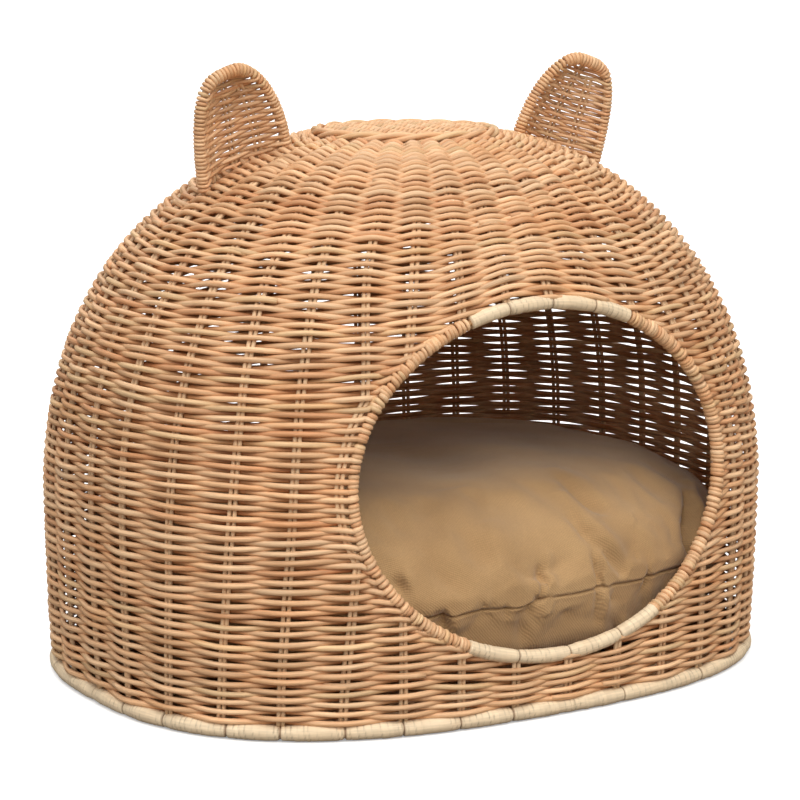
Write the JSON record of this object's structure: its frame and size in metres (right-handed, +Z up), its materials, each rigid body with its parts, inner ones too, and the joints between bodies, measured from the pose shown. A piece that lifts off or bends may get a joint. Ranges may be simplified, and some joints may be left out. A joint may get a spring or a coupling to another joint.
{
  "type": "wicker pet bed basket",
  "caption": "Domed woven rattan pet house with two cupped ears, an oval doorway, a bound foot rim and a loose stuffed cushion on its floor.",
  "frame": {"origin": "middle of the footprint, on the surface that the basket stands on", "axes": "+X to the object's right as seen by someone facing the doorway, +Y from the doorway towards the back, +Z up"},
  "size_m": [0.5, 0.3905, 0.4169],
  "materials": {
    "rattan_weave": "satin",
    "rattan_stake": "satin",
    "cane_binding": "satin",
    "hoop_wood": "matte",
    "cushion_cloth": "matte",
    "cushion_fill": "matte"
  },
  "bodies": {
    "basket": {"base_hoop": "hoop_wood", "base_binding": "cane_binding", "floor_sticks": "rattan_stake", "floor_weave": "rattan_weave", "wall_sill_outer": "rattan_weave", "wall_sill_inner": "rattan_weave", "wall_front_outer": "rattan_weave", "wall_back_outer": "rattan_weave", "wall_side_inner": "rattan_weave", "wall_dome_outer": "rattan_weave", "wall_dome_inner": "rattan_weave", "door_hoop": "hoop_wood", "door_binding_top": "cane_binding", "door_binding_bottom": "cane_binding", "door_wrap_left": "rattan_weave", "door_wrap_right": "rattan_weave", "door_stakes_upper": "rattan_stake", "door_stakes_lower": "rattan_stake", "crown_border": "rattan_weave", "crown_weave": "rattan_weave", "crown_sticks": "rattan_stake", "ear_left_frame": "rattan_stake", "ear_left_wrap": "rattan_weave", "ear_left_weave": "rattan_weave", "ear_right_frame": "rattan_stake", "ear_right_wrap": "rattan_weave", "ear_right_weave": "rattan_weave", "stake_pair_04": "rattan_stake", "stake_pair_05": "rattan_stake", "stake_pair_06": "rattan_stake", "stake_pair_07": "rattan_stake", "stake_pair_08": "rattan_stake", "stake_pair_09": "rattan_stake", "stake_pair_10": "rattan_stake", "stake_pair_11": "rattan_stake", "stake_pair_12": "rattan_stake", "stake_pair_13": "rattan_stake", "stake_pair_14": "rattan_stake", "stake_pair_15": "rattan_stake", "stake_pair_16": "rattan_stake", "stake_pair_17": "rattan_stake", "stake_pair_18": "rattan_stake", "stake_pair_19": "rattan_stake", "stake_pair_20": "rattan_stake", "stake_pair_21": "rattan_stake", "stake_pair_22": "rattan_stake", "stake_pair_23": "rattan_stake", "stake_pair_24": "rattan_stake", "stake_pair_25": "rattan_stake", "stake_pair_26": "rattan_stake", "stake_pair_27": "rattan_stake", "stake_pair_28": "rattan_stake", "stake_pair_29": "rattan_stake", "stake_pair_30": "rattan_stake", "stake_pair_31": "rattan_stake", "stake_pair_32": "rattan_stake"},
    "cushion": {"cushion_top_cover": "cushion_cloth", "cushion_bottom_cover": "cushion_cloth", "cushion_filling": "cushion_fill"}
  },
  "joints": [
    {"name": "cushion_lift", "type": "slide", "parent": "basket", "child": "cushion", "axis": [0, 0, 1], "range_m": [0, 0.08]}
  ]
}
